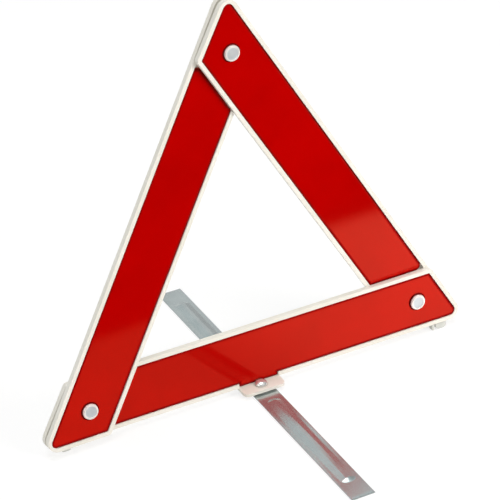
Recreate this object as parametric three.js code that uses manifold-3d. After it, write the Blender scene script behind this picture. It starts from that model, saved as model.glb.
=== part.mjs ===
// Folding warning triangle, standing open on its swivelling foot strip.
// Millimetres. +Z is up, the reflecting faces look towards -Y. The origin lies on the ground,
// on the axis of the rivet that holds the foot strip.
import * as THREE from 'three';
import { mergeVertices } from 'three/addons/utils/BufferGeometryUtils.js';
import Module from 'manifold-3d';

const { Manifold, Mesh } = await Module().then((module) => { module.setup(); return module; });

// ---- driving dimensions ----------------------------------------------------------------------
const PIVOT_SPAN = 350;            // distance between two corner rivets
const ARM_WIDTH = 60;
const ARM_THICK = 5.6;
const LAYER_PITCH = 6.6;           // one arm's middle plane to the next at a crossing
const RELIEF_REACH = 62;           // crossing arms are eased this far around a rivet
const RELIEF_MARGIN = 0.5;         // and this far past the crossing arm's edge
const LEAN_DEG = 7.5;              // the triangle leans back from the vertical
const ACUTE_RADIUS = 10;
const OBTUSE_RADIUS = 4;

const RIM_WIDTH = 3.9;
const TRAY_FLOOR = 0.5;            // depth of the tray floor, measured from the arm's middle plane
const LENS_FRONT = -2.0;
const LENS_BACK = -0.6;
const SHEET_FRONT = -0.3;
const SHEET_BACK = 0.2;
const LENS_GAP = 0.3;              // all round between lens and rim
const LENS_TUCK = 0.8;             // lens end hidden under the crossing arm
const TRAY_TUCK = 6;               // tray end hidden under the crossing arm
const BACK_POCKET_DEPTH = 1.2;
const BACK_POCKET_COUNT = 8;
const BACK_RIB = 4;

const SHANK_RADIUS = 2.5;
const SHANK_CLEARANCE = 0.08;
const BOSS_RADIUS = 6;
const CAP_RADIUS = 7.6;
const CAP_HEIGHT = 2.6;
const GAP = 0.3;                   // between neighbouring pieces that touch

const GROUND_TO_ARM = 5.9;         // height of the base arm's lower edge
const RIVET_FORWARD = 6.5;         // foot strip rivet, in front of the base arm's middle plane
const FLANGE_HALF = 21.5;
const FLANGE_FRONT = -9.9;
const FLANGE_BACK = 9.3;
const FLANGE_BOTTOM = 3.4;
const FLANGE_TOP = 6.5;
const TAB_HALF = 20.5;              // lens tab that reaches down to the flange
const TAB_GAP = 0.3;
const TAB_BOTTOM = 0.8;             // above the arm's lower edge

const STRIP_LENGTH = 378;
const STRIP_WIDTH = 24;
const STRIP_THICK = 1.6;
const RIB_START = 20;              // from the strip rivet to the near end of a pressed rib
const RIB_END = 166;
const RIB_HALF = 8.6;
const RIB_RISE = 1.7;
const RIB_FLANK = 6.4;

const SEGMENTS = 28;

// ---- derived ---------------------------------------------------------------------------------
const HALF = ARM_WIDTH / 2;
const END = PIVOT_SPAN / 2;
const COS30 = Math.cos(Math.PI / 6);
const FACE = ARM_THICK / 2;
const CENTROID = PIVOT_SPAN / (2 * Math.sqrt(3));
const BACK_LAYER = LAYER_PITCH / 2;

const MATERIALS = {
  cream: new THREE.MeshStandardMaterial({ color: 0xe9e3d6, roughness: 0.5 }),
  red: new THREE.MeshStandardMaterial({ color: 0xb80608, roughness: 0.18 }),
  orange: new THREE.MeshStandardMaterial({ color: 0xd8402a, roughness: 0.6 }),
  nickel: new THREE.MeshStandardMaterial({ color: 0xc9ced2, roughness: 0.25, metalness: 1 }),
  zinc: new THREE.MeshStandardMaterial({ color: 0xb4bcbb, roughness: 0.35, metalness: 1 }),
  grey: new THREE.MeshStandardMaterial({ color: 0xc9cbc3, roughness: 0.7 }),
};

// ---- solids ----------------------------------------------------------------------------------
function toSolid(geometry) {
  const bare = new THREE.BufferGeometry();
  bare.setAttribute('position', geometry.getAttribute('position'));
  if (geometry.index) bare.setIndex(geometry.index);
  const welded = mergeVertices(bare, 1e-4);
  const mesh = new Mesh({
    numProp: 3,
    vertProperties: Float32Array.from(welded.getAttribute('position').array),
    triVerts: Uint32Array.from(welded.index.array),
  });
  mesh.merge();
  return new Manifold(mesh);
}

function shapeOf(points) {
  return new THREE.Shape(points.map(([x, y]) => new THREE.Vector2(x, y)));
}

// Plate standing in the arm's plane: outline in X and Z, thickness along Y.
function wallPlate(points, front, back) {
  const geometry = new THREE.ExtrudeGeometry(shapeOf(points), { depth: back - front, bevelEnabled: false });
  geometry.rotateX(Math.PI / 2);
  geometry.translate(0, back, 0);
  return toSolid(geometry);
}

// Plate lying flat: outline in X and Y, thickness along Z.
function floorPlate(points, bottom, top) {
  const geometry = new THREE.ExtrudeGeometry(shapeOf(points), { depth: top - bottom, bevelEnabled: false });
  geometry.translate(0, 0, bottom);
  return toSolid(geometry);
}

// Turned piece: profile of [radius, height] pairs about Z, from the bottom up.
function turned(profile, segments = SEGMENTS) {
  const points = profile.map(([radius, height]) => new THREE.Vector2(radius, height));
  return toSolid(new THREE.LatheGeometry(points, segments).rotateX(Math.PI / 2));
}

// Turned piece whose axis runs through the arm; heights count towards the front.
function turnedAcross(profile, x) {
  return turned(profile).rotate([90, 0, 0]).translate([x, 0, 0]);
}

function rod(radius, from, to, x) {
  return turnedAcross([[0, from], [radius, from], [radius, to], [0, to]], x);
}

function ring(inner, outer, from, to, x) {
  return turnedAcross([[inner, from], [outer, from], [outer, to], [inner, to], [inner, from]], x);
}

// ---- outlines --------------------------------------------------------------------------------
// Replaces each corner of a convex polygon by an arc.
function rounded(corners, radii, steps = 6) {
  const points = [];
  corners.forEach((corner, i) => {
    const here = new THREE.Vector2(...corner);
    const before = new THREE.Vector2(...corners[(i + corners.length - 1) % corners.length]);
    const after = new THREE.Vector2(...corners[(i + 1) % corners.length]);
    const toBefore = before.sub(here).normalize();
    const toAfter = after.sub(here).normalize();
    const halfAngle = Math.acos(toBefore.dot(toAfter)) / 2;
    const bisector = toBefore.clone().add(toAfter).normalize();
    const centre = here.clone().addScaledVector(bisector, radii[i] / Math.sin(halfAngle));
    const start = here.clone().addScaledVector(toBefore, radii[i] / Math.tan(halfAngle)).sub(centre);
    const turn = Math.PI - 2 * halfAngle;
    for (let k = 0; k <= steps; k += 1) {
      const spoke = start.clone().rotateAround(new THREE.Vector2(), (turn * k) / steps);
      points.push([centre.x + spoke.x, centre.y + spoke.y]);
    }
  });
  return points;
}

// Arm-shaped outline from the distances of its four sides to the rivet centres.
function armOutline(lower, right, upper, left, acute, obtuse) {
  const corners = [
    [-END - (left + lower / 2) / COS30, -lower],
    [END + (right + lower / 2) / COS30, -lower],
    [END + (right - upper / 2) / COS30, upper],
    [-END - (left - upper / 2) / COS30, upper],
  ];
  return rounded(corners, [acute, acute, obtuse, obtuse]);
}

function box(x0, x1, y0, y1) {
  return [[x0, y0], [x1, y0], [x1, y1], [x0, y1]];
}

// ---- placing ---------------------------------------------------------------------------------
// Leans the triangle back and sets it on the ground beside the strip rivet.
function lean(solid) {
  return solid
    .translate([0, 0, HALF])
    .rotate([-LEAN_DEG, 0, 0])
    .translate([0, RIVET_FORWARD, GROUND_TO_ARM]);
}

// Turns a piece from the base arm's place to another side of the triangle.
function onSide(solid, turns) {
  return solid
    .translate([0, 0, -CENTROID])
    .rotate([0, -120 * turns, 0])
    .translate([0, 0, CENTROID]);
}

// Each arm is straight and slants from the rear layer at its left rivet to the front layer at its
// right rivet, so that the three arms overlap in a cycle.
const ARMS = {
  base: { turns: 0, leftLayer: 0, rightLayer: 0 },
  right: { turns: 1, leftLayer: LAYER_PITCH, rightLayer: -BACK_LAYER },
  left: { turns: 2, leftLayer: BACK_LAYER, rightLayer: -LAYER_PITCH },
};

// Sets a piece drawn in an arm's own frame in its place on the standing triangle.
function onArm(side, solid) {
  const arm = ARMS[side];
  const slant = Math.asin((arm.rightLayer - arm.leftLayer) / PIVOT_SPAN);
  const slanted = solid
    .rotate([0, 0, THREE.MathUtils.radToDeg(slant)])
    .translate([0, (arm.leftLayer + arm.rightLayer) / 2, 0]);
  return lean(onSide(slanted, arm.turns));
}

const root = new THREE.Group();
root.name = 'warning_triangle';

function add(name, solid, material) {
  const mesh = solid.getMesh();
  const geometry = new THREE.BufferGeometry();
  geometry.setAttribute('position', new THREE.BufferAttribute(Float32Array.from(mesh.vertProperties), 3));
  geometry.setIndex([...mesh.triVerts]);
  const faceted = geometry.toNonIndexed();
  faceted.computeVertexNormals();
  const node = new THREE.Mesh(faceted, material);
  node.name = name;
  root.add(node);
}

// ---- arms ------------------------------------------------------------------------------------
const SHANK_HOLE = SHANK_RADIUS + SHANK_CLEARANCE;

function armHousing() {
  const rimmed = HALF - RIM_WIDTH;
  const outline = armOutline(HALF, HALF, HALF, HALF, ACUTE_RADIUS, OBTUSE_RADIUS);
  const tray = armOutline(rimmed, rimmed, rimmed, TRAY_TUCK - HALF, 5.6, 2.4);
  let housing = wallPlate(outline, -FACE, FACE)
    .subtract(wallPlate(tray, -FACE - 1, TRAY_FLOOR))
    .add(rod(BOSS_RADIUS, -TRAY_FLOOR - 0.5, -LENS_FRONT, END));
  const pocketSpan = (2 * (END - 35)) / BACK_POCKET_COUNT;
  for (let i = 0; i < BACK_POCKET_COUNT; i += 1) {
    const left = -END + 35 + i * pocketSpan + BACK_RIB / 2;
    const pocket = box(left, left + pocketSpan - BACK_RIB, -HALF + BACK_RIB, HALF - BACK_RIB);
    housing = housing.subtract(wallPlate(pocket, FACE - BACK_POCKET_DEPTH, FACE + 1));
  }
  return housing;
}

function armLens(front, back) {
  const inner = HALF - RIM_WIDTH - LENS_GAP;
  const outline = armOutline(inner, inner, inner, LENS_TUCK - HALF, 5, 2.2);
  return wallPlate(outline, front, back).subtract(rod(BOSS_RADIUS + LENS_GAP, -back - 1, -front + 1, END));
}

const housings = {};
const lenses = {};
const sheets = {};
for (const side of Object.keys(ARMS)) {
  housings[side] = onArm(side, armHousing());
  lenses[side] = onArm(side, armLens(LENS_FRONT, LENS_BACK));
  sheets[side] = onArm(side, armLens(SHEET_FRONT, SHEET_BACK));
}

// Over the flange the base arm has no lower rim: its lens reaches down as a tab, hollowed out in
// front of the middle for the head of the strip rivet.
const headRecess = turned([
  [0, FLANGE_TOP - 0.5],
  [6.6, FLANGE_TOP - 0.5],
  [6.6, FLANGE_TOP + 1.3],
  [5.8, FLANGE_TOP + 2.8],
  [3.9, FLANGE_TOP + 4.2],
  [0, FLANGE_TOP + 4.8],
]);
function tab(half, bottom, front, back) {
  return onArm('base', wallPlate(box(-half, half, bottom - HALF, -HALF + 8), front, back));
}
housings.base = housings.base.subtract(tab(TAB_HALF + TAB_GAP, 0.1, -FACE - 1, TRAY_FLOOR));
lenses.base = lenses.base.add(tab(TAB_HALF, TAB_BOTTOM, LENS_FRONT, LENS_BACK)).subtract(headRecess);
sheets.base = sheets.base.add(tab(TAB_HALF, TAB_BOTTOM, SHEET_FRONT, SHEET_BACK));

const flange = floorPlate(
  rounded(box(-FLANGE_HALF, FLANGE_HALF, FLANGE_FRONT, FLANGE_BACK), [5, 5, 1, 1]),
  FLANGE_BOTTOM,
  FLANGE_TOP,
).subtract(turned([[0, 0], [3.08, 0], [3.08, 20], [0, 20]]));
housings.base = housings.base.add(flange).subtract(headRecess);

// Slab in an arm's own frame that covers its end around one rivet; it eases the arm it crosses.
function relief(side, rivetX, front, back) {
  const outline = box(rivetX - RELIEF_REACH, rivetX + RELIEF_REACH, -RELIEF_REACH, HALF + RELIEF_MARGIN);
  return onArm(side, wallPlate(outline, front, back));
}
const crossings = [
  relief('left', END, -FACE, FACE + GAP),
  relief('right', -END, -FACE - GAP, FACE),
];
for (const crossing of crossings) {
  housings.base = housings.base.subtract(crossing);
  lenses.base = lenses.base.subtract(crossing);
}
const topCrossing = relief('right', END, -FACE, FACE + GAP);
housings.left = housings.left.subtract(topCrossing);
lenses.left = lenses.left.subtract(topCrossing);

// The corner rivets stand square to the two swinging arms.
const drill = (x, half = 12) => rod(SHANK_HOLE, -half, half, x);
const leftDrill = onArm('left', drill(END));
const rightDrill = onArm('right', drill(-END));
housings.base = housings.base.subtract(leftDrill).subtract(rightDrill);
housings.left = housings.left
  .subtract(leftDrill)
  .subtract(onArm('left', drill(-END, FACE + 1)))
  .subtract(onArm('left', rod(5, FACE - 0.8, FACE + 1, -END)));
housings.right = housings.right
  .subtract(rightDrill)
  .subtract(onArm('right', drill(END, FACE + 1)))
  .subtract(onArm('right', rod(5, -FACE - 1, -TRAY_FLOOR - 0.1, END)));

for (const side of Object.keys(ARMS)) {
  add(`${side}_arm_housing`, housings[side], MATERIALS.cream);
  add(`${side}_reflector_lens`, lenses[side], MATERIALS.red);
  add(`${side}_reflector_sheet`, sheets[side], MATERIALS.orange);
}

// ---- corner rivets and top snap --------------------------------------------------------------
// Cap rim, bevel and shallow dish, seated just in front of a lens; heights count towards the front.
function capProfile(seat) {
  return [
    [CAP_RADIUS, seat],
    [CAP_RADIUS, seat + 1.1],
    [CAP_RADIUS - 0.5, seat + 2.1],
    [CAP_RADIUS - 1.2, seat + CAP_HEIGHT],
    [CAP_RADIUS - 1.9, seat + CAP_HEIGHT],
    [CAP_RADIUS - 2.4, seat + CAP_HEIGHT - 0.5],
    [0, seat + CAP_HEIGHT - 0.5],
  ];
}

const capSeat = -LENS_FRONT + 0.5;

// Heights start at the middle plane of the front arm; the rear arm is one pitch behind.
const rivetTail = -LAYER_PITCH - FACE - GAP - 1 - GAP;
const cornerRivet = turned([
  [0, rivetTail - 0.9],
  [3.6, rivetTail - 0.9],
  [4.2, rivetTail],
  [SHANK_RADIUS, rivetTail],
  [SHANK_RADIUS, capSeat],
  ...capProfile(capSeat),
]).rotate([90, 0, 0]);
const layerWasher = ring(SHANK_HOLE + 0.1, 5.4, -FACE - 0.7, -FACE - GAP, 0);
const rearTop = -LAYER_PITCH - FACE - GAP;
const rearWasher = ring(SHANK_HOLE + 0.1, 5.4, rearTop - 1, rearTop, 0);

const CORNERS = [
  { side: 'left', x: END, layer: 0 },
  { side: 'right', x: -END, layer: -LAYER_PITCH },
];
for (const corner of CORNERS) {
  const place = (solid) => onArm(corner.side, solid.translate([corner.x, corner.layer, 0]));
  add(`${corner.side}_corner_rivet`, place(cornerRivet), MATERIALS.nickel);
  add(`${corner.side}_layer_washer`, place(layerWasher), MATERIALS.nickel);
  add(`${corner.side}_rear_washer`, place(rearWasher), MATERIALS.nickel);
}

const snapCap = turned([
  [0, -0.6],
  [SHANK_RADIUS, -0.6],
  [SHANK_RADIUS, capSeat],
  ...capProfile(capSeat),
]).rotate([90, 0, 0]);
const snapSocket = ring(3, 4.7, -FACE + 0.2, -FACE + 1.9, 0);
const snapStud = turned([
  [0, 0.6],
  [2.2, 0.6],
  [2.2, FACE - 0.5],
  [4.7, FACE - 0.5],
  [4.7, FACE - 0.1],
  [2.4, FACE - 0.1],
  [2.2, FACE + 0.2],
  [1.4, FACE + 0.4],
  [0, FACE + 0.4],
]).rotate([90, 0, 0]);
const snapPost = turned([
  [0, -FACE - 1.5],
  [4.6, -FACE - 1.5],
  [5.2, -FACE - 1],
  [5.2, -FACE - GAP],
  [2.2, -FACE - GAP],
  [2.2, 0.2],
  [0, 0.2],
]).rotate([90, 0, 0]);
add('snap_cap', onArm('right', snapCap.translate([END, 0, 0])), MATERIALS.nickel);
add('snap_socket', onArm('right', snapSocket.translate([END, 0, 0])), MATERIALS.nickel);
add('snap_stud', onArm('left', snapStud.translate([-END, 0, 0])), MATERIALS.nickel);
add('snap_post', onArm('left', snapPost.translate([-END, 0, 0])), MATERIALS.nickel);

// ---- foot strip ------------------------------------------------------------------------------
// Pressed rib: a long pad with round ends and a curved flank.
function pressedRib(half, bottom, top, curve) {
  const near = RIB_START + RIB_HALF;
  const far = RIB_END - RIB_HALF;
  const flat = half - curve;
  const shape = new THREE.Shape();
  shape.absarc(0, far, flat, 0, Math.PI, false);
  shape.absarc(0, near, flat, Math.PI, 2 * Math.PI, false);
  const geometry = new THREE.ExtrudeGeometry(shape, {
    depth: 0.2,
    curveSegments: 10,
    bevelSize: curve,
    bevelThickness: top - bottom - 0.2,
    bevelSegments: 4,
  });
  geometry.translate(0, 0, bottom);
  return toSolid(geometry).trimByPlane([0, 0, 1], bottom);
}

const stripPlate = floorPlate(
  rounded(
    box(-STRIP_WIDTH / 2, STRIP_WIDTH / 2, -STRIP_LENGTH / 2, STRIP_LENGTH / 2),
    [1.5, 1.5, 1.5, 1.5],
    3,
  ),
  0,
  STRIP_THICK,
);
let strip = stripPlate;
for (const turn of [0, 180]) {
  const raised = pressedRib(RIB_HALF, STRIP_THICK - 0.2, STRIP_THICK + RIB_RISE, RIB_FLANK);
  strip = strip.add(raised.rotate([0, 0, turn]));
}
for (const turn of [0, 180]) {
  const hollow = pressedRib(RIB_HALF - 1, -1, RIB_RISE, RIB_FLANK);
  strip = strip.subtract(hollow.rotate([0, 0, turn]));
}
strip = strip.subtract(turned([[0, -1], [4.7, -1], [4.7, 0.7], [3.08, 0.8], [3.08, 5], [0, 5]]));
add('stand_strip', strip, MATERIALS.zinc);

const standRivet = turned([
  [0, 0.1],
  [4.3, 0.1],
  [4.3, 0.4],
  [3, 0.4],
  [3, FLANGE_TOP + GAP],
  [6, FLANGE_TOP + GAP],
  [6, FLANGE_TOP + 1],
  [5.2, FLANGE_TOP + 2.4],
  [3.4, FLANGE_TOP + 3.6],
  [1.4, FLANGE_TOP + 4],
  [0, FLANGE_TOP + 4],
]);
add('stand_rivet', standRivet, MATERIALS.nickel);
const washerBottom = STRIP_THICK + GAP;
const standWasher = turned([
  [3.2, washerBottom],
  [8, washerBottom],
  [8, FLANGE_BOTTOM - GAP],
  [3.2, FLANGE_BOTTOM - GAP],
  [3.2, washerBottom],
]);
add('stand_washer', standWasher, MATERIALS.nickel);

// ---- feet ------------------------------------------------------------------------------------
// Pads under the base arm, cut level with the ground.
const FEET = [
  { name: 'left_foot', x0: -204.5, x1: -195, radius: 2.5 },
  { name: 'strip_catch', x0: 189.7, x1: 192.3, radius: 1.2 },
  { name: 'right_foot', x0: 193.2, x1: 206, radius: 5 },
];
for (const foot of FEET) {
  const corners = box(foot.x0, foot.x1, -HALF - 6.4, -HALF - GAP);
  const pad = lean(wallPlate(rounded(corners, [foot.radius, foot.radius, 0.4, 0.4], 6), -FACE + 0.2, FACE - 0.2))
    .trimByPlane([0, 0, 1], 0);
  const plan = rounded(box(foot.x0, foot.x1, 3, 11), Array(4).fill(foot.radius * 0.5), 4);
  add(foot.name, pad.intersect(floorPlate(plan, -1, 20)), MATERIALS.grey);
}

export default root;
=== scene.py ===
"""Looks of the folding warning triangle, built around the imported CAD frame. Metres, +Z up."""
import math

import bmesh
import bpy
from mathutils import Matrix, Vector
from mathutils.geometry import tessellate_polygon


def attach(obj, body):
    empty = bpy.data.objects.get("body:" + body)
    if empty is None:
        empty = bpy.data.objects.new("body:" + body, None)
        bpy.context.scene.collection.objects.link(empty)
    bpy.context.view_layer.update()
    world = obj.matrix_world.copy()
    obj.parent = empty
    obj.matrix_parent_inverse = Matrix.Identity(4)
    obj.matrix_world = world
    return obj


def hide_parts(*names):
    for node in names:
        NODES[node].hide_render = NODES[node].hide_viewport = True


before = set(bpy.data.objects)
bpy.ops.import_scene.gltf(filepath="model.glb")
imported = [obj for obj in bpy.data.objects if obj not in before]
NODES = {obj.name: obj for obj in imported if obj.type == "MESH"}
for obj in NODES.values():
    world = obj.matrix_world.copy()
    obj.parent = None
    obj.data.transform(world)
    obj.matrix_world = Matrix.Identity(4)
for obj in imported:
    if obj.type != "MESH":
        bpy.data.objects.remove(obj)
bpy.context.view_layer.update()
MM = 0.001

# ---- sizes in millimetres: the CAD part's own, but for ribs, lens ends and edge rounding ----
SPAN = 350.0
END = SPAN / 2
HALF = 30.0
FACE = 2.8
PITCH = 6.6
LEAN = math.radians(7.5)
GROUND_TO_ARM = 5.9
RIVET_FORWARD = 6.5
CENTROID = SPAN / (2 * math.sqrt(3))
PLAY = 0.3
LENS_EDGE = 26.05
LENS_FRONT = -2.0
LENS_BACK = -0.6
LENS_ACUTE_RADIUS = 5
LENS_OBTUSE_RADIUS = 2.2
BOSS_HOLE_RADIUS = 6.3
CAP_GROOVE_RADIUS = 9.0
CAP_GROOVE_DEPTH = 0.4
CAP_SEAT = 2.5
CAP_RADIUS = 7.6
SHANK_RADIUS = 2.5
WASHER_THICK = 1
TAIL_RADIUS = 4.2
STRIP_HALF_WIDTH = 12.0
STRIP_HALF_LENGTH = 189.0
STRIP_THICK = 1.6
RIB_HALF = 8.0
RIB_RISE = 1.85
RIB_NEAR = 26.0
RIB_FAR = 160.3
FLANGE_TOP = 6.5
TAB_HALF = 20.5
TAB_EDGE = 29.2
TAB_RADIUS = 1.9
DOME_RADIUS = 6.0

# turns of 120 degrees about the triangle's centre, then the layer at the arm's left and right ends
ARMS = {
    "base": (0, 0.0, 0.0),
    "right": (1, PITCH, -PITCH / 2),
    "left": (2, PITCH / 2, -PITCH),
}
# distance from a lens end to the axis of the arm that passes in front of it
LENS_END = {"base": 29.2, "right": 29.2, "left": 30.1}
BODY = {"base": "base_arm", "right": "right_arm", "left": "left_arm"}


def arm_matrix(side):
    """From an arm's own frame in millimetres to the row frame in metres."""
    turns, left_layer, right_layer = ARMS[side]
    slant = math.asin((right_layer - left_layer) / SPAN)
    own = Matrix.Translation((0, (left_layer + right_layer) / 2, 0)) @ Matrix.Rotation(slant, 4, "Z")
    turn = (
        Matrix.Translation((0, 0, CENTROID))
        @ Matrix.Rotation(math.radians(-120 * turns), 4, "Y")
        @ Matrix.Translation((0, 0, -CENTROID))
    )
    stand = (
        Matrix.Translation((0, RIVET_FORWARD, GROUND_TO_ARM))
        @ Matrix.Rotation(-LEAN, 4, "X")
        @ Matrix.Translation((0, 0, HALF))
    )
    return Matrix.Scale(MM, 4) @ stand @ turn @ own


# ---- node materials ----
class Nodes:
    """Small builder for a node tree."""

    def __init__(self, name, world=False):
        self.data = bpy.data.worlds.new(name) if world else bpy.data.materials.new(name)
        self.data.use_nodes = True
        self.tree = self.data.node_tree
        self.tree.nodes.clear()

    def add(self, kind, inputs=None, **settings):
        node = self.tree.nodes.new(kind)
        for key, value in settings.items():
            setattr(node, key, value)
        for key, value in (inputs or {}).items():
            self.feed(node.inputs[key], value)
        return node

    def feed(self, socket, value):
        if isinstance(value, bpy.types.NodeSocket):
            self.tree.links.new(value, socket)
        else:
            socket.default_value = value

    def noise(self, vector, scale, detail=3.0, rough=0.55):
        inputs = {"Vector": vector, "Scale": scale, "Detail": detail, "Roughness": rough}
        return self.add("ShaderNodeTexNoise", inputs).outputs["Fac"]

    def spread(self, value, low, high, out_low, out_high):
        """Takes low..high to out_low..out_high and holds the ends."""
        node = self.add(
            "ShaderNodeMapRange",
            {"Value": value, "From Min": low, "From Max": high, "To Min": out_low, "To Max": out_high},
        )
        return node.outputs["Result"]

    def math(self, operation, a, b=0.0):
        node = self.add("ShaderNodeMath", {0: a, 1: b}, operation=operation)
        return node.outputs[0]

    def mix(self, factor, a, b):
        node = self.add("ShaderNodeMix", data_type="RGBA")
        self.feed(node.inputs["Factor"], factor)
        self.feed(node.inputs[6], a)
        self.feed(node.inputs[7], b)
        return node.outputs[2]

    def choose(self, factor, a, b):
        """Shader a where factor is 0 and b where it is 1."""
        return self.add("ShaderNodeMixShader", {0: factor, 1: a, 2: b}).outputs[0]

    def bump(self, height, strength, distance):
        inputs = {"Height": height, "Strength": strength, "Distance": distance}
        return self.add("ShaderNodeBump", inputs).outputs["Normal"]

    def coords(self, scale=(1, 1, 1)):
        source = self.add("ShaderNodeTexCoord").outputs["Object"]
        node = self.add("ShaderNodeMapping", {"Vector": source, "Scale": scale})
        return node.outputs["Vector"]

    def surface(self, **inputs):
        """Principled shader; an underscore in a name stands for a space."""
        shader = self.add("ShaderNodeBsdfPrincipled")
        for key, value in inputs.items():
            self.feed(shader.inputs[key.replace("_", " ")], value)
        self.add("ShaderNodeOutputMaterial", {"Surface": shader.outputs[0]})
        return self.data


def cream_plastic():
    """Off-white moulded plastic with a fine grain and a few darker scuffs."""
    n = Nodes("cream_plastic")
    at = n.coords()
    cloud = n.noise(at, 28.0, 4.0)
    grain = n.noise(at, 1500.0, 2.0)
    scuff = n.noise(n.coords((30, 30, 260)), 9.0, 5.0, 0.7)
    tint = n.mix(n.spread(cloud, 0.35, 0.65, 0, 1), (0.84, 0.81, 0.72, 1), (0.90, 0.87, 0.80, 1))
    tint = n.mix(n.spread(scuff, 0.66, 0.78, 0, 0.35), tint, (0.62, 0.58, 0.52, 1))
    rough = n.spread(scuff, 0.3, 0.7, 0.36, 0.52)
    return n.surface(
        Base_Color=tint,
        Roughness=rough,
        Normal=n.bump(grain, 0.12, 0.0002),
    )


def red_lens():
    """Glossy red reflector plate with faint darker seams between its moulded cells."""
    n = Nodes("red_lens")
    at = n.coords()
    cloud = n.noise(at, 11.0, 3.0)
    fine = n.noise(at, 420.0, 2.0)
    cells = n.add("ShaderNodeTexVoronoi", {"Vector": at, "Scale": 420.0}, feature="DISTANCE_TO_EDGE")
    seams = n.spread(cells.outputs["Distance"], 0.0, 0.08, 0.10, 0.0)
    tint = n.mix(n.spread(cloud, 0.35, 0.65, 0, 1), (0.45, 0.0, 0.0, 1), (0.52, 0.0, 0.0, 1))
    tint = n.mix(seams, tint, (0.28, 0.0, 0.0, 1))
    return n.surface(
        Base_Color=tint,
        Roughness=n.spread(fine, 0.3, 0.7, 0.05, 0.10),
        Specular_IOR_Level=1.0,
        Specular_Tint=(1.0, 0.12, 0.03, 1),
        Normal=n.bump(cloud, 0.02, 0.002),
    )


def shaded_lens_border(name, low, high):
    """Sunk edge of the reflector plate, painted darker red as shade along the border."""
    n = Nodes(name)
    cloud = n.noise(n.coords(), 60.0, 3.0)
    tint = n.mix(n.spread(cloud, 0.35, 0.65, 0, 1), low, high)
    return n.surface(
        Base_Color=tint,
        Roughness=0.45,
        Specular_IOR_Level=0.12,
        Specular_Tint=(1.0, 0.2, 0.15, 1),
    )


def backing_sheet():
    """Orange-red sheet behind the lens."""
    n = Nodes("backing_sheet")
    weave = n.noise(n.coords(), 900.0, 2.0)
    tint = n.mix(n.spread(weave, 0.3, 0.7, 0, 1), (0.60, 0.07, 0.03, 1), (0.74, 0.11, 0.05, 1))
    return n.surface(Base_Color=tint, Roughness=0.7, Normal=n.bump(weave, 0.2, 0.0002))


def plated(name, low, high, rough, metal, stretch=(1, 1, 1), depth=0.1, scale=60.0):
    """Plated metal; stretch and scale shape the streaks, metal below 1 leaves some plain grey."""
    n = Nodes(name)
    streak = n.noise(n.coords(stretch), scale, 5.0, 0.65)
    blot = n.noise(n.coords(), 45.0, 3.0)
    tint = n.mix(n.spread(blot, 0.3, 0.7, 0, 1), low, high)
    return n.surface(
        Base_Color=tint,
        Metallic=metal,
        Roughness=n.spread(streak, 0.3, 0.7, *rough),
        Normal=n.bump(streak, depth, 0.0002),
    )


def foot_plastic():
    """Grey-green plastic of the feet and the catch."""
    n = Nodes("foot_plastic")
    at = n.coords()
    cloud = n.noise(at, 90.0, 3.0)
    grain = n.noise(at, 1800.0, 2.0)
    tint = n.mix(n.spread(cloud, 0.3, 0.7, 0, 1), (0.55, 0.57, 0.53, 1), (0.68, 0.69, 0.65, 1))
    return n.surface(Base_Color=tint, Roughness=0.62, Normal=n.bump(grain, 0.2, 0.0002))


CREAM = cream_plastic()
RED = red_lens()
# painted shade: dark reds for the lens's sunk border, its rounding, the groove round each cap and the
# rivet-head pocket
RED_EDGE_SHADE = shaded_lens_border("red_lens_edge_painted_shade", (0.17, 0.001, 0.001, 1), (0.24, 0.003, 0.002, 1))
RED_ROUNDING_SHADE = shaded_lens_border("red_lens_rounding_painted_shade", (0.30, 0.0, 0.0, 1), (0.36, 0.001, 0.001, 1))
SHEET = backing_sheet()
POLISHED = plated("nickel_polished", (0.92, 0.86, 0.82, 1), (0.98, 0.93, 0.89, 1), (0.16, 0.28), 0.25)
BRUSHED = plated(
    "nickel_brushed", (0.50, 0.54, 0.57, 1), (0.70, 0.73, 0.75, 1), (0.30, 0.46), 0.25,
    stretch=(1, 1, 9), depth=0.35, scale=260.0,
)
DOME = plated("nickel_dome", (0.80, 0.79, 0.77, 1), (0.90, 0.89, 0.87, 1), (0.10, 0.20), 0.7)
ZINC = plated(
    "zinc_steel", (0.50, 0.55, 0.55, 1), (0.56, 0.61, 0.61, 1), (0.23, 0.27), 0.84,
    stretch=(10, 1, 10), depth=0.02, scale=40.0,
)
FOOT = foot_plastic()


# ---- mesh helpers ----
SMOOTH_BELOW = 32


def new_object(name, verts, faces, materials, matrix, face_material=None):
    """Object from points in millimetres; matrix takes them to the row frame in metres."""
    mesh = bpy.data.meshes.new(name)
    mesh.from_pydata([tuple(matrix @ Vector(v)) for v in verts], [], faces)
    for material in materials:
        mesh.materials.append(material)
    if face_material:
        for polygon, index in zip(mesh.polygons, face_material):
            polygon.material_index = index
    work = bmesh.new()
    work.from_mesh(mesh)
    bmesh.ops.recalc_face_normals(work, faces=work.faces)
    work.to_mesh(mesh)
    work.free()
    obj = bpy.data.objects.new(name, mesh)
    bpy.context.scene.collection.objects.link(obj)
    smooth_by_angle(obj, SMOOTH_BELOW)
    return obj


def smooth_by_angle(obj, degrees):
    obj.data.shade_smooth()
    obj.data.set_sharp_from_angle(angle=math.radians(degrees))


def lathe(name, profile, matrix, materials, bands=None, segments=72):
    """Turns [radius, height] pairs about local Z; bands gives a material index for each profile step."""
    verts, faces, index = [], [], []
    rows = []
    for radius, height in profile:
        if radius < 1e-6:
            rows.append([len(verts)] * segments)
            verts.append((0, 0, height))
        else:
            rows.append(list(range(len(verts), len(verts) + segments)))
            for k in range(segments):
                a = 2 * math.pi * k / segments
                verts.append((radius * math.cos(a), radius * math.sin(a), height))
    for row in range(len(rows) - 1):
        low, high = rows[row], rows[row + 1]
        for k in range(segments):
            j = (k + 1) % segments
            ring = [low[k], low[j], high[j], high[k]]
            face = [v for i, v in enumerate(ring) if v not in ring[:i]]
            if len(face) > 2:
                faces.append(face)
                index.append(bands[row] if bands else 0)
    return new_object(name, verts, faces, materials, matrix, index)


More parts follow.
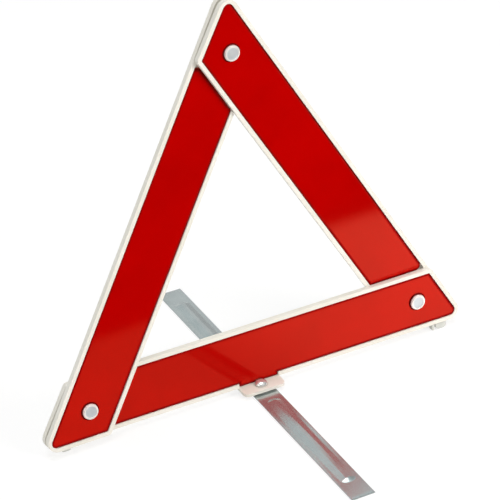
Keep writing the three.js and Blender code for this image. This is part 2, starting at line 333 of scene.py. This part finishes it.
def arc(centre, radius, start, stop, steps):
    """Profile points on an arc, angles in degrees."""
    points = []
    for k in range(steps + 1):
        a = math.radians(start + (stop - start) * k / steps)
        points.append((centre[0] + radius * math.cos(a), centre[1] + radius * math.sin(a)))
    return points


def rounded(corners, radii, steps=8):
    """Closed outline with each corner, outward or inward, replaced by an arc."""
    points = []
    count = len(corners)
    for i, corner in enumerate(corners):
        here = Vector(corner)
        before = (Vector(corners[i - 1]) - here).normalized()
        after = (Vector(corners[(i + 1) % count]) - here).normalized()
        half = before.angle(after) / 2
        centre = here + (before + after).normalized() * radii[i] / math.sin(half)
        start = here + before * radii[i] / math.tan(half) - centre
        turn = math.pi - 2 * half
        if before.cross(after) > 0:
            turn = -turn
        for k in range(steps + 1):
            spoke = Matrix.Rotation(turn * k / steps, 2) @ start
            points.append(tuple(centre + spoke))
    return points


def arm_outline(lower, right, upper, left, acute, obtuse, tab=None):
    """Corner points of an arm shape with rounded corners; tab is (half width, lower edge, corner radius)."""
    c = math.cos(math.pi / 6)
    low_left = (-END - (left + lower / 2) / c, -lower)
    low_right = (END + (right + lower / 2) / c, -lower)
    high_right = (END + (right - upper / 2) / c, upper)
    high_left = (-END - (left - upper / 2) / c, upper)
    if tab is None:
        return rounded([low_left, low_right, high_right, high_left], [acute, acute, obtuse, obtuse])
    half, edge, radius = tab
    step = [(-half, -lower), (-half, -edge), (half, -edge), (half, -lower)]
    inside = 0.4
    return rounded(
        [low_left] + step + [low_right, high_right, high_left],
        [acute, inside, radius, radius, inside, acute, obtuse, obtuse],
    )


def finish_piece(obj, body, node):
    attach(obj, body)
    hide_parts(node)


# ---- lenses ----
# lens material slots: the first is the lens's red, the other two are darker reds of painted shade along the
# border
FLAT, EDGE_SHADE, ROUNDING_SHADE = 0, 1, 2
LENS_MATERIALS = [RED, RED_EDGE_SHADE, RED_ROUNDING_SHADE]
# distance in from the outline, distance behind the front face, and the material of the step to the next; the
# outer steps take the darker reds of painted shade
LENS_BORDER = [
    (0.0, 0.55, EDGE_SHADE),
    (0.15, 0.45, EDGE_SHADE),
    (1.1, 0.40, ROUNDING_SHADE),
    (1.5, 0.06, ROUNDING_SHADE),
    (1.8, 0.0, ROUNDING_SHADE),
    (2.6, 0.0, FLAT),
]
# groove and hole round the cap; make_lens gives them the dark edge red, painted shade round the cap
LENS_HOLE = [
    (CAP_GROOVE_RADIUS, LENS_FRONT),
    (CAP_GROOVE_RADIUS - CAP_GROOVE_DEPTH, LENS_FRONT + CAP_GROOVE_DEPTH),
    (BOSS_HOLE_RADIUS, LENS_FRONT + CAP_GROOVE_DEPTH),
    (BOSS_HOLE_RADIUS, LENS_BACK),
]


def lens_outline(side, inset):
    edge = LENS_EDGE - inset
    acute = max(LENS_ACUTE_RADIUS - inset, 1)
    obtuse = max(LENS_OBTUSE_RADIUS - inset, 0.7)
    tab = None
    if side == "base":
        tab = (TAB_HALF - inset, TAB_EDGE - inset, max(TAB_RADIUS - inset, 0.2))
    return arm_outline(edge, edge, edge, -LENS_END[side] - inset, acute, obtuse, tab)


def bridge(faces, near, far):
    """Faces between two closed rings of the same number of points."""
    for k in range(len(near)):
        j = (k + 1) % len(near)
        faces.append([near[k], near[j], far[j], far[k]])


def make_lens(side):
    """Lens plate with a sunk, rounded border and a hole for the rivet boss; the border, the hole's groove and
    the back take the dark reds of painted shade.
    """
    verts, faces, index = [], [], []

    def add_ring(points):
        verts.extend(points)
        return range(len(verts) - len(points), len(verts))

    steps = [(0.0, LENS_BACK, EDGE_SHADE)] + [(inset, LENS_FRONT + sink, tone) for inset, sink, tone in LENS_BORDER]
    loops = [add_ring([(x, depth, z) for x, z in lens_outline(side, inset)]) for inset, depth, _ in steps]
    for near, far, (_, _, tone) in zip(loops, loops[1:], steps):
        bridge(faces, near, far)
        index.extend([tone] * len(near))
    segments = 64
    angles = [2 * math.pi * k / segments for k in range(segments)]
    holes = []
    for radius, depth in LENS_HOLE:
        holes.append(add_ring([(END + radius * math.cos(a), depth, radius * math.sin(a)) for a in angles]))
    for near, far in zip(holes, holes[1:]):
        bridge(faces, near, far)
        index.extend([EDGE_SHADE] * segments)
    for outer, hole, tone in ((loops[-1], holes[0], FLAT), (loops[0], holes[-1], EDGE_SHADE)):
        order = list(outer) + list(hole)
        flat = [[Vector((verts[i][0], verts[i][2], 0)) for i in ring] for ring in (outer, hole)]
        for triangle in tessellate_polygon(flat):
            faces.append([order[i] for i in triangle])
            index.append(tone)
    return new_object(f"{side}_lens", verts, faces, LENS_MATERIALS, arm_matrix(side), index)


def cut(obj, cutter):
    """Takes cutter's shape out of obj and removes the cutter."""
    modifier = obj.modifiers.new("cut", "BOOLEAN")
    modifier.operation = "DIFFERENCE"
    modifier.solver = "EXACT"
    modifier.object = cutter
    bpy.context.view_layer.update()
    done = bpy.data.meshes.new_from_object(obj.evaluated_get(bpy.context.evaluated_depsgraph_get()))
    obj.modifiers.clear()
    obj.data = done
    bpy.data.objects.remove(cutter)


def cut_head_pocket(lens):
    """Domed pocket in the lens's tab for the head of the strip's rivet; its walls take the dark edge red as
    painted shade.
    """
    domed = [(0, -0.5), (6.6, -0.5), (6.6, 1.3), (5.8, 2.8), (3.9, 4.2), (0, 4.8)]
    profile = [(radius, FLANGE_TOP + height) for radius, height in domed]
    bands = [EDGE_SHADE] * (len(profile) - 1)
    cut(lens, lathe("recess_cutter", profile, Matrix.Scale(MM, 4), [RED, RED_EDGE_SHADE], bands, segments=64))
    smooth_by_angle(lens, SMOOTH_BELOW)


for side in ARMS:
    lens = make_lens(side)
    if side == "base":
        cut_head_pocket(lens)
    finish_piece(lens, BODY[side], f"{side}_reflector_lens")


# ---- housings and small CAD pieces keep their CAD mesh under edge rounding ----
def dress(name, material, bevel=0.0):
    """Gives a CAD piece its material and, with a bevel in millimetres, rounded edges."""
    obj = NODES[name]
    obj.data.materials.clear()
    obj.data.materials.append(material)
    weld = obj.modifiers.new("weld", "WELD")
    weld.merge_threshold = 1e-6
    if bevel:
        flatten = obj.modifiers.new("flatten", "DECIMATE")
        flatten.decimate_type = "DISSOLVE"
        flatten.angle_limit = math.radians(0.6)
        edge = obj.modifiers.new("edge", "BEVEL")
        edge.width = bevel * MM
        edge.segments = 2
        edge.limit_method = "ANGLE"
        edge.angle_limit = math.radians(28)
        edge.harden_normals = True


for side in ARMS:
    dress(f"{side}_arm_housing", CREAM, 0.35)
    dress(f"{side}_reflector_sheet", SHEET)
for name in ("left_foot", "right_foot", "strip_catch"):
    dress(name, FOOT, 0.5)
for name in (
    "left_layer_washer", "right_layer_washer", "left_rear_washer", "right_rear_washer",
    "snap_socket", "snap_stud", "snap_post", "stand_washer",
):
    dress(name, POLISHED, 0.08)


# ---- caps and rivets ----
RING, DISH, WALL = 0, 1, 2


def cap_profile():
    """Outer wall, broad rounded bright ring and shallow brushed dish."""
    return (
        [(CAP_RADIUS, CAP_SEAT), (CAP_RADIUS, CAP_SEAT + 0.9)]
        + arc((6.9, CAP_SEAT + 0.9), 0.7, 10, 50, 3)
        + arc((6.3, CAP_SEAT + 1.35), 1.2, 35, 95, 5)
        + [(5.7, CAP_SEAT + 2.4), (5.45, CAP_SEAT + 2.2), (5.3, CAP_SEAT + 2.08), (0, CAP_SEAT + 2.15)]
    )


def make_cap(name, side, x, layer, lead):
    """Cap with lead, the profile of what is behind it, on the arm's axis at x."""
    at = arm_matrix(side) @ Matrix.Translation((x, layer, 0)) @ Matrix.Rotation(math.radians(90), 4, "X")
    cap = cap_profile()
    wall = [WALL] * 2
    dish = [DISH] * 2
    ring = [RING] * (len(cap) - 1 - len(wall) - len(dish))
    bands = [RING] * len(lead) + wall + ring + dish
    return lathe(name, lead + cap, at, [POLISHED, BRUSHED, DOME], bands)


tail = -PITCH - FACE - PLAY - WASHER_THICK - PLAY
rivet_lead = [
    (0, tail - 0.9),
    (3.3, tail - 0.9),
    (3.8, tail - 0.7),
    (TAIL_RADIUS, tail - 0.1),
    (TAIL_RADIUS, tail),
    (SHANK_RADIUS, tail),
    (SHANK_RADIUS, CAP_SEAT),
]
for side, x, layer in (("left", END, 0), ("right", -END, -PITCH)):
    cap = make_cap(f"{side}_corner_cap", side, x, layer, rivet_lead)
    finish_piece(cap, "base_arm", f"{side}_corner_rivet")
snap_start = -0.6
snap_lead = [(0, snap_start), (SHANK_RADIUS, snap_start), (SHANK_RADIUS, CAP_SEAT)]
snap = make_cap("top_snap_cap", "right", END, 0, snap_lead)
finish_piece(snap, "right_arm", "snap_cap")


def dome_point(degrees):
    turn = math.radians(degrees)
    return (DOME_RADIUS * math.cos(turn), FLANGE_TOP + 0.7 + 3.3 * math.sin(turn))


dome = (
    [(0, 0.1), (4.3, 0.1), (4.3, 0.4), (3, 0.4), (3, FLANGE_TOP + 0.3), (5.8, FLANGE_TOP + 0.3)]
    + [(DOME_RADIUS, FLANGE_TOP + 0.45)]
    + [dome_point(degrees) for degrees in range(0, 90, 9)]
    + [(0, FLANGE_TOP + 4.0)]
)
rivet = lathe("stand_rivet_dome", dome, Matrix.Scale(MM, 4), [DOME])
finish_piece(rivet, "base_arm", "stand_rivet")


# ---- foot strip ----
RIB_CREST_HALF = 1.3
RIB_END_SQUEEZE = 1.45
RIB_NEAR_TIP = 23
RIB_FAR_TIP = 163
FINE_STEP = 0.6
COARSE_STEP = 4.0
EDGE_WIDTH = 1.2
EDGE_DROP = 0.6


def rib_height(x, y):
    """Height of the pressed ribs: straight flanks, with foot and crest rounded over the share soft."""
    along = min(max(abs(y), RIB_NEAR), RIB_FAR)
    distance = math.hypot(x, RIB_END_SQUEEZE * (abs(y) - along))
    share = min(max((RIB_HALF - distance) / (RIB_HALF - RIB_CREST_HALF), 0), 1)
    soft = 0.16
    if share < soft:
        return RIB_RISE * share * share / (2 * soft * (1 - soft))
    if share > 1 - soft:
        return RIB_RISE * (1 - (1 - share) ** 2 / (2 * soft * (1 - soft)))
    return RIB_RISE * (share - soft / 2) / (1 - soft)


def strip_rows():
    """Places along the strip, close together where a rib ends."""
    rows = [-STRIP_HALF_LENGTH + step for step in (0, 0.3, 0.9, 4)]
    y = -172.0
    while y < -12.0:
        rows.append(y)
        near_end = min(abs(abs(y) - RIB_FAR_TIP), abs(abs(y) - RIB_NEAR_TIP)) < 6
        y += FINE_STEP if near_end else COARSE_STEP
    rows.append(-10.0)
    return rows + [0.0] + [-row for row in reversed(rows)]


def make_strip():
    """Steel strip as one grid above and one below, joined round the border."""
    margin = [10.2, 11.0, 11.6, 11.9, STRIP_HALF_WIDTH]
    columns = [-x for x in reversed(margin)] + [-9.1 + 0.65 * k for k in range(29)] + margin
    rows = strip_rows()
    verts, faces = [], []
    width, length = len(columns), len(rows)
    for top in (True, False):
        for y in rows:
            for x in columns:
                rib = rib_height(x, y)
                across = (abs(x) - STRIP_HALF_WIDTH) / EDGE_WIDTH + 1
                along = (abs(y) - STRIP_HALF_LENGTH) / EDGE_DROP + 1
                edge = max(across, along, 0)
                drop = EDGE_DROP * (1 - math.sqrt(max(1 - edge * edge, 0)))
                z = STRIP_THICK + rib - drop if top else rib + min(drop, 0.45)
                verts.append((x, y, z))
    plane = width * length
    for r in range(length - 1):
        for c in range(width - 1):
            a = r * width + c
            faces.append([a, a + 1, a + width + 1, a + width])
            faces.append([plane + a, plane + a + width, plane + a + width + 1, plane + a + 1])
    border = (
        list(range(width))
        + [r * width + width - 1 for r in range(1, length)]
        + [(length - 1) * width + c for c in range(width - 2, -1, -1)]
        + [r * width for r in range(length - 2, 0, -1)]
    )
    for i, a in enumerate(border):
        b = border[(i + 1) % len(border)]
        faces.append([a, plane + a, plane + b, b])
    return new_object("foot_strip_steel", verts, faces, [ZINC], matrix=Matrix.Scale(MM, 4))


strip = make_strip()
hole = [(0, -1), (4.7, -1), (4.7, 0.7), (3.08, 0.8), (3.08, 5), (0, 5)]
cut(strip, lathe("hole_cutter", hole, Matrix.Scale(MM, 4), [ZINC], segments=48))
smooth_by_angle(strip, 40)
finish_piece(strip, "foot_strip", "stand_strip")


# ---- stage, light and camera ----
def pale_floor():
    """Pale to the eye; in reflections brighter to the right and dark further out in front."""
    n = Nodes("pale_floor")
    at = n.coords()
    place = n.add("ShaderNodeSeparateXYZ", {"Vector": at})
    rays = n.add("ShaderNodeLightPath")
    cloud = n.spread(n.noise(at, 3.0), 0.3, 0.7, 0, 1)
    tint = n.mix(cloud, (0.86, 0.86, 0.86, 1), (0.89, 0.89, 0.885, 1))
    matt = n.add("ShaderNodeBsdfDiffuse", {"Color": tint})
    faint = n.add("ShaderNodeBsdfDiffuse", {"Color": n.mix(0.6, tint, (0, 0, 0, 1))})
    lift = n.add("ShaderNodeEmission", {"Color": (1, 1, 1, 1), "Strength": 0.70})
    seen = n.add("ShaderNodeAddShader", {0: faint.outputs[0], 1: lift.outputs[0]})
    across = n.math(
        "ADD",
        n.spread(place.outputs["X"], 0.0, 0.10, 0.75, 1.45),
        n.spread(place.outputs["X"], 0.10, 0.28, 0.0, 0.35),
    )
    ahead = n.spread(place.outputs["Y"], -0.30, -0.27, 0.0, 1.0)
    glow = n.add("ShaderNodeEmission", {"Color": (1, 1, 1, 1), "Strength": n.math("MULTIPLY", across, ahead)})
    usual = n.choose(rays.outputs["Is Camera Ray"], matt.outputs[0], seen.outputs[0])
    final = n.choose(rays.outputs["Is Glossy Ray"], usual, glow.outputs[0])
    n.add("ShaderNodeOutputMaterial", {"Surface": final})
    return n.data


def add_floor():
    mesh = bpy.data.meshes.new("floor")
    reach = 30.0
    corners = [(-reach, -reach, 0), (reach, -reach, 0), (reach, reach, 0), (-reach, reach, 0)]
    mesh.from_pydata(corners, [], [[0, 1, 2, 3]])
    mesh.materials.append(pale_floor())
    floor = bpy.data.objects.new("floor", mesh)
    floor.location.z = -0.0002
    bpy.context.scene.collection.objects.link(floor)


LAMP_TARGET = (0, 0, 0.15)


def add_area(name, place, target, size, power, color, mirrored=True):
    """Square lamp; one that isn't mirrored doesn't show in glossy surfaces."""
    data = bpy.data.lights.new(name, "AREA")
    data.shape = "SQUARE"
    data.size = size
    data.energy = power
    data.color = color
    light = bpy.data.objects.new(name, data)
    light.location = place
    light.visible_glossy = mirrored
    light.rotation_euler = (Vector(target) - Vector(place)).to_track_quat("-Z", "Y").to_euler()
    bpy.context.scene.collection.objects.link(light)


add_floor()
add_area("key", (1.2, -1.6, 1.0), LAMP_TARGET, 1.0, 29, (1.0, 0.96, 0.92), mirrored=False)
add_area("side", (-2.4, -0.6, 1.5), LAMP_TARGET, 1.6, 10, (0.93, 1.0, 0.97))
add_area("top", (0.0, 0.3, 3.0), (0, 0, 0.1), 2.0, 36, (1.0, 1.0, 1.0))


def soft_world():
    """White to the eye, dim as a light; in reflections bright above and behind, dark low in front."""
    n = Nodes("soft_world", world=True)
    rays = n.add("ShaderNodeLightPath")
    way = n.add("ShaderNodeSeparateXYZ", {"Vector": n.add("ShaderNodeTexCoord").outputs["Generated"]})
    low = n.spread(way.outputs["Z"], 0.30, 0.55, 1.0, 0.0)
    front = n.spread(way.outputs["Y"], -0.55, -0.25, 1.0, 0.0)
    right = n.spread(way.outputs["X"], 0.45, 0.80, 1.0, 0.35)
    mirrored = n.math("MULTIPLY", n.spread(n.math("MULTIPLY", low, front), 0.0, 1.0, 0.74, 0.03), right)
    height = n.spread(way.outputs["Z"], 0.56, 0.66, 0.0, 1.0)
    tint = n.mix(height, (1, 1, 1, 1), (0.82, 0.90, 0.91, 1))
    dim = n.add("ShaderNodeBackground", {"Color": (1, 1, 1, 1), "Strength": 0.38})
    bright = n.add("ShaderNodeBackground", {"Color": tint, "Strength": mirrored})
    clear = n.add("ShaderNodeBackground", {"Color": (1, 1, 1, 1), "Strength": 1.05})
    usual = n.choose(rays.outputs["Is Glossy Ray"], dim.outputs[0], bright.outputs[0])
    final = n.choose(rays.outputs["Is Camera Ray"], usual, clear.outputs[0])
    n.add("ShaderNodeOutputWorld", {"Surface": final})
    return n.data


bpy.context.scene.world = soft_world()

CAMERA_PLACE = (-0.9891, -1.8559, 1.4995)
CAMERA_HEADING = math.radians(-27.842)
CAMERA_TILT = math.radians(57.41)
CAMERA_ROLL = math.radians(-1.173)


def add_camera():
    """Long lens, above and to the left of the object."""
    data = bpy.data.cameras.new("camera")
    data.sensor_width = 36.0
    data.lens = 198.39
    data.clip_end = 100.0
    camera = bpy.data.objects.new("camera", data)
    camera.matrix_world = (
        Matrix.Translation(CAMERA_PLACE)
        @ Matrix.Rotation(CAMERA_HEADING, 4, "Z")
        @ Matrix.Rotation(CAMERA_TILT, 4, "X")
        @ Matrix.Rotation(CAMERA_ROLL, 4, "Z")
    )
    bpy.context.scene.collection.objects.link(camera)
    bpy.context.scene.camera = camera


add_camera()
bpy.context.scene.view_settings.view_transform = "Standard"
